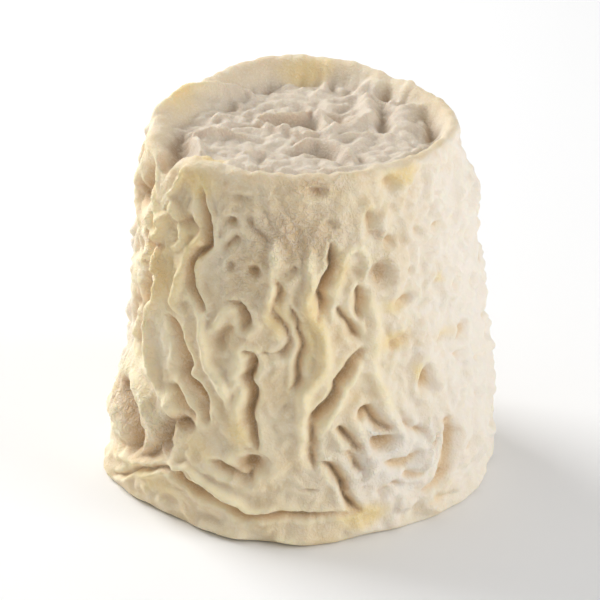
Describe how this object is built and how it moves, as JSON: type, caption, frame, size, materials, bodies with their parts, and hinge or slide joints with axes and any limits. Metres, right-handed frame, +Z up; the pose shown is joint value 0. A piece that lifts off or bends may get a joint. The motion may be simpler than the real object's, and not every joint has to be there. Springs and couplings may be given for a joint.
{
  "type": "ripened goat's cheese",
  "caption": "Small ripened goat's cheese of a tall tapered shape, with a deeply wrinkled soft rind, a pressed-out foot and a sunken top.",
  "frame": {"origin": "middle of the flat base, on the surface that the cheese stands on", "axes": "+Z up through the cheese, -Y towards the side that the picture shows, +X to that side's right"},
  "size_m": [0.0626, 0.0619, 0.0609],
  "materials": {
    "rind": "dry, floury ripened rind"
  },
  "bodies": {
    "root": {"cheese": "rind"}
  },
  "joints": []
}
